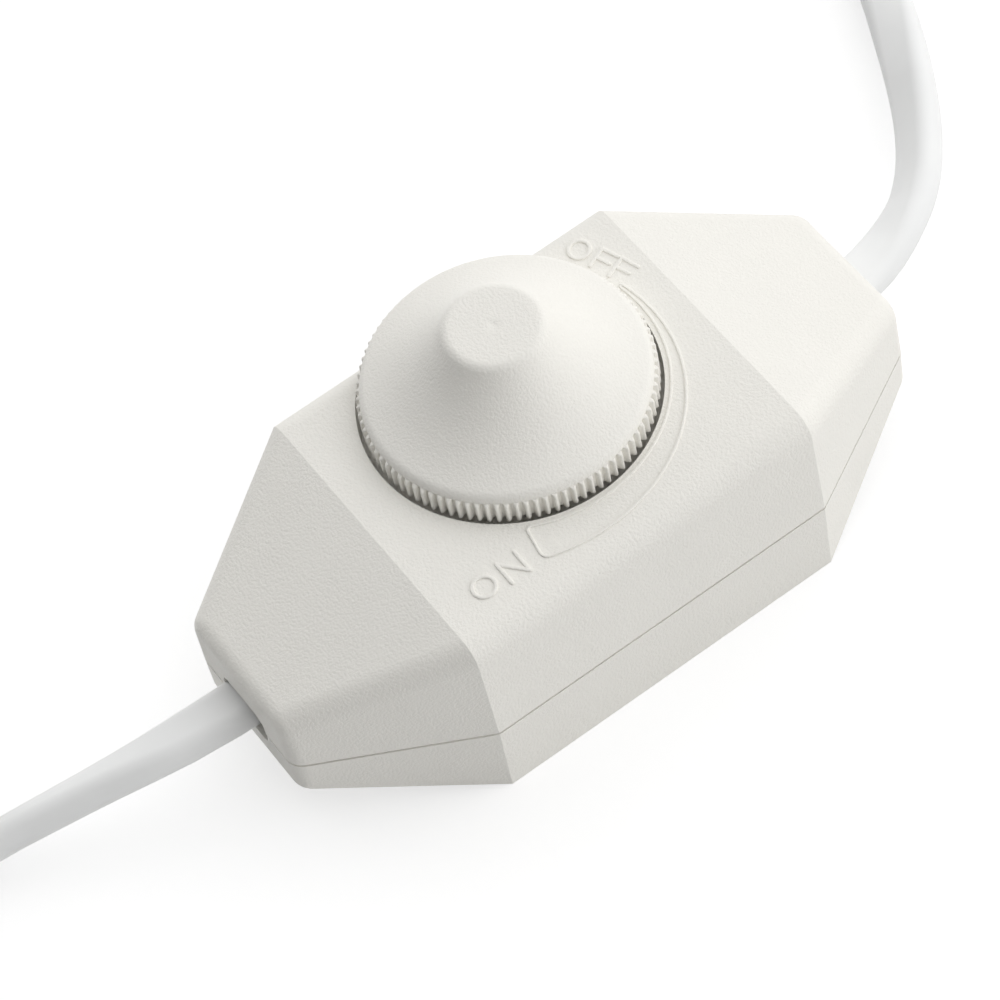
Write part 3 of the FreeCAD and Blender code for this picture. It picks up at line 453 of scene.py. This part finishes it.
def knobGrid():
    # r = the profile's radius, and in the rim rows a half-ellipse rib over each pitch, which rises from the
    # shoulder below its top; the bore's rows are cut flat on one side
    profile, firstRim = knobProfile()
    count = knob["ribs"] * knob["perRib"]
    angle = np.arange(count) * 2 * math.pi / count
    pitch = (np.arange(count) / knob["perRib"]) % 1 - 0.5
    rib = np.sqrt(np.clip(1 - (pitch / knob["ribWide"]) ** 2, 0, 1))
    r = np.repeat(profile[:, :1], count, axis=1)
    z = np.repeat(profile[:, 1:], count, axis=1)
    isRim = (np.arange(len(profile)) >= firstRim) & (profile[:, 0] > knob["rimInner"] + knob["nearZero"])
    depth = np.clip((knob["ribTop"] - profile[:, 1]) / knob["ribEnd"], 0, 1)
    rise = np.sqrt(1 - (1 - depth) ** 2) * isRim
    ribbed = knob["root"] + (knob["tip"] - knob["root"]) * rib
    r = r + rise[:, None] * (ribbed[None, :] - np.minimum(r, knob["shoulder"]))
    isBore = np.isclose(profile[:, 0], knob["bore"])
    facing = np.sin(angle)
    cut = knob["boreFlat"] / np.clip(facing, knob["nearZero"], 1)
    flat = np.where(facing > knob["nearZero"], cut, knob["bore"])
    r = np.where(isBore[:, None], np.minimum(r, flat[None, :]), r)
    x, y = knob["axis"]
    return np.stack([x + r * np.cos(angle), y + r * np.sin(angle), z], -1)


knobPiece = makePiece("ribbed_knob", [knobGrid()], "dial", "knob_white", knob["sharp"])
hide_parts("knob")
print("knob made with", len(knobPiece.data.polygons), "faces")


# Raised marks on the flat top: OFF, ON and the wedge that widens towards ON

marks = {
    "level": 27.3,
    "sunk": 0.08,
    "letterWide": 0.46,
    "letterHigh": 0.2,
    "strokeDrop": 0.008,
    "wedgeWide": 0.34,
    "wedgeHigh": 0.18,
    "letterStep": 0.3,
    "wedgeStep": 0.1,
    "ringPoints": 48,
    "wedgePoints": 200,
    "endSteps": 5,
    "across": (0.5, 0.5, 0.43, 0.3),
    "up": (0.35, 0.82, 1),
    "sharp": 50,
}
offWord = {
    "ring": (16.99, 15.57, 1.22),
    "strokes": [
        [(16.63, 12.99), (19.01, 13.98), (19.72, 11.92)], [(17.82, 13.49), (18.39, 11.81)],
        [(17.43, 10.5), (19.97, 11.52), (20.59, 9.35)], [(18.7, 11.01), (19.3, 9.3)],
    ],
}
onWord = {
    "ring": (-16.6, -13.41, 1.3),
    "strokes": [
        [(-14.0, -14.95), (-14.0, -12.0)], [(-14.0, -12.0), (-11.6, -14.9)],
        [(-11.6, -14.9), (-11.6, -11.95)],
    ],
}
wedge = {
    "axis": (0, 5.2),
    "tipAngle": 12,
    "sweep": 125,
    "inner": 17.75,
    "outer": (18.15, 3.75, 1.25),
    "innerEnd": -120,
    "outerEnd": -116,
    "corner": 0.8,
}


def evenly(path, step):
    # the path's points again, a step apart along it
    run = np.append(0, np.cumsum(np.linalg.norm(np.diff(path, axis=0), axis=1)))
    at = np.linspace(0, run[-1], max(2, int(run[-1] / step) + 1))
    return np.stack([np.interp(at, run, path[:, k]) for k in range(2)], -1)


def ridge(path, wide, high, closed):
    # a flat-topped ridge with steep rounded sides carried along the path; open ends are half-round
    halfSection = np.array(marks["across"]) * wide
    across = np.concatenate([-halfSection, halfSection[::-1]])
    climb = np.append(-marks["sunk"], np.array(marks["up"]) * high)
    up = np.concatenate([climb, climb[::-1]])
    if closed:
        ahead = np.roll(path, -1, axis=0) - np.roll(path, 1, axis=0)
    else:
        ahead = np.gradient(path, axis=0)
    ahead /= np.linalg.norm(ahead, axis=1)[:, None]
    share = np.ones(len(path))
    if not closed:
        count = marks["endSteps"]
        turn = np.linspace(math.pi / 2, 0, count + 1)[:-1]
        start = path[0] - ahead[0] * (wide / 2 * np.sin(turn))[:, None]
        end = path[-1] + ahead[-1] * (wide / 2 * np.sin(turn[::-1]))[:, None]
        path = np.concatenate([start, path, end])
        ahead = np.concatenate([np.repeat(ahead[:1], count, 0), ahead, np.repeat(ahead[-1:], count, 0)])
        share = np.concatenate([np.cos(turn), share, np.cos(turn[::-1])])
    side = np.stack([-ahead[:, 1], ahead[:, 0]], -1)
    flatPart = path[:, None] + side[:, None] * (across[None, :] * share[:, None])[..., None]
    height = np.broadcast_to(marks["level"] + up, flatPart.shape[:2])
    grid = np.concatenate([flatPart, height[..., None]], -1)
    return np.concatenate([grid, grid[:1]]) if closed else grid


def circle(x, y, radius):
    angle = np.linspace(0, 2 * math.pi, marks["ringPoints"], endpoint=False)
    return np.stack([x + radius * np.cos(angle), y + radius * np.sin(angle)], -1)


def wedgePath():
    # out along the growing radius, across the end and back along the inner circle; a moving mean rounds the
    # corners, and every second point of it is kept
    count, step = marks["wedgePoints"], marks["wedgeStep"]
    angle = np.linspace(wedge["tipAngle"], wedge["outerEnd"], count)
    base, growth, power = wedge["outer"]
    outer = base + growth * ((wedge["tipAngle"] - angle) / wedge["sweep"]) ** power
    back = np.linspace(wedge["innerEnd"], wedge["tipAngle"], count)
    radius = np.concatenate([outer, np.full(count, wedge["inner"])])
    turn = np.radians(np.concatenate([angle, back]))
    path = wedge["axis"] + radius[:, None] * np.stack([np.cos(turn), np.sin(turn)], -1)
    even = evenly(np.concatenate([path, path[:1]]), step)[:-1]
    span = int(wedge["corner"] / step)
    wrapped = np.concatenate([even[-span:], even, even[:span]])
    window = np.ones(2 * span + 1) / (2 * span + 1)
    smooth = np.stack([np.convolve(wrapped[:, k], window, "valid") for k in range(2)], -1)
    return smooth[::2]


def wordRidges(word):
    # each stroke stands a hair lower than the one before, so that no two tops share a plane where they cross
    high = marks["letterHigh"]
    made = [ridge(circle(*word["ring"]), marks["letterWide"], high, True)]
    for stroke in word["strokes"]:
        corners = np.array(stroke)
        for first, second in zip(corners[:-1], corners[1:]):
            high -= marks["strokeDrop"]
            line = evenly(np.stack([first, second]), marks["letterStep"])
            made.append(ridge(line, marks["letterWide"], high, False))
    return made


for name, ridges in {
    "off_mark": wordRidges(offWord),
    "on_mark": wordRidges(onWord),
    "wedge_mark": [ridge(wedgePath(), marks["wedgeWide"], marks["wedgeHigh"], True)],
}.items():
    makePiece(name, ridges, "housing", "housing_white", marks["sharp"])
print("marks raised on the top")


# Floor and light

stage = {"half": 1.5, "drop": 0.02, "albedo": 0.72, "seenAlbedo": 0.52, "glow": 0.6}
sky = {"level": 1.23, "toward": (0.9, 0.26, -0.32), "dark": -0.71, "bright": -0.41}
keyLight = {"place": (0.45, -0.8, 0.4), "reach": 0.9, "size": 0.5, "power": 0.6}


def seenDirectly(tree):
    # 1 for what the camera sees straight, in a mirror or through glass
    path = addNode(tree, "ShaderNodeLightPath")
    seen = path.outputs["Is Camera Ray"]
    for kind in ("Is Glossy Ray", "Is Transmission Ray"):
        either = addNode(tree, "ShaderNodeMath", {0: seen, 1: path.outputs[kind]}, operation="MAXIMUM")
        seen = either.outputs[0]
    return seen


half, low = stage["half"], -stage["drop"] * mm
floorMesh = bpy.data.meshes.new("floor")
corners = [(-half, -half, low), (half, -half, low), (half, half, low), (-half, half, low)]
floorMesh.from_pydata(corners, [], [(0, 1, 2, 3)])
floor = bpy.data.objects.new("floor", floorMesh)
bpy.context.scene.collection.objects.link(floor)
floorPaper = bpy.data.materials.new("floor_paper")
floorPaper.use_nodes = True
tree = floorPaper.node_tree
tree.nodes.remove(tree.nodes["Principled BSDF"])
direct = seenDirectly(tree)
tones = {"To Min": stage["albedo"], "To Max": stage["seenAlbedo"]}
pale = addNode(tree, "ShaderNodeMapRange", {"Value": direct, **tones})
matt = addNode(tree, "ShaderNodeBsdfDiffuse", {"Color": pale.outputs[0]})
seen = addNode(tree, "ShaderNodeMath", {0: direct, 1: stage["glow"]}, operation="MULTIPLY")
glow = addNode(tree, "ShaderNodeEmission", {"Color": (1, 1, 1, 1), "Strength": seen.outputs[0]})
both = addNode(tree, "ShaderNodeAddShader", {0: matt.outputs[0], 1: glow.outputs[0]})
tree.links.new(both.outputs[0], tree.nodes["Material Output"].inputs["Surface"])
floorMesh.materials.append(floorPaper)

# an even sky with a dark side away from toward, where direction . toward is low; white where it is seen
world = bpy.data.worlds.new("studio")
bpy.context.scene.world = world
world.use_nodes = True
tree = world.node_tree
direction = addNode(tree, "ShaderNodeTexCoord").outputs["Generated"]
along = addNode(tree, "ShaderNodeVectorMath", {0: direction, 1: sky["toward"]}, operation="DOT_PRODUCT")
ramp = {"From Min": sky["dark"], "From Max": sky["bright"], "To Min": 0.0, "To Max": sky["level"]}
lit = addNode(tree, "ShaderNodeMapRange", {"Value": along.outputs["Value"], **ramp})
strength = addNode(
    tree, "ShaderNodeMapRange", {"Value": seenDirectly(tree), "To Min": lit.outputs[0], "To Max": 1.0},
)
tree.nodes["Background"].inputs["Color"].default_value = (1, 1, 1, 1)
tree.links.new(strength.outputs[0], tree.nodes["Background"].inputs["Strength"])

lamp = bpy.data.lights.new("softKey", "AREA")
lamp.shape = "DISK"
lamp.size = keyLight["size"]
lamp.energy = keyLight["power"]
key = bpy.data.objects.new("softKey", lamp)
bpy.context.scene.collection.objects.link(key)
toLamp = np.array(keyLight["place"]) / np.linalg.norm(keyLight["place"])
key.rotation_mode = "QUATERNION"
key.rotation_quaternion = Vector(toLamp).to_track_quat("Z", "Y")
key.location = toLamp * keyLight["reach"]
bpy.context.scene.view_settings.view_transform = "Standard"
print("stage lit")
